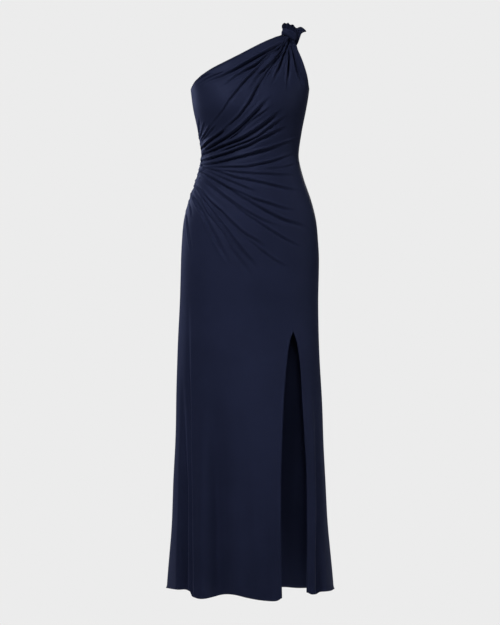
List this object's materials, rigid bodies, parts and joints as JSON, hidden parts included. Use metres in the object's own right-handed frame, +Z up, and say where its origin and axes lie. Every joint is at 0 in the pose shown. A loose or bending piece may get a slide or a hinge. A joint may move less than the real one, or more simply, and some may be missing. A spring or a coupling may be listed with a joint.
{
  "type": "one-shoulder dress",
  "caption": "Long hollow one-shoulder dress with a diagonal neckline, a gathered shoulder knot with a frill, folds drawn to one side seam and an open front slit.",
  "frame": {"origin": "underside of the strap at the shoulder that holds the dress up, below the knot", "axes": "+Z up, towards the knot; -Y towards the front of the dress; +X towards the side with the shoulder knot and the slit"},
  "size_m": [0.4553, 0.2426, 1.5373],
  "materials": {
    "jersey": "matte satin-face jersey, dark navy, with a soft sheen on the folds"
  },
  "bodies": {
    "root": {"front_panel": "jersey", "back_panel": "jersey", "knot_band": "jersey", "front_frill": "jersey", "back_frill": "jersey"}
  },
  "joints": []
}
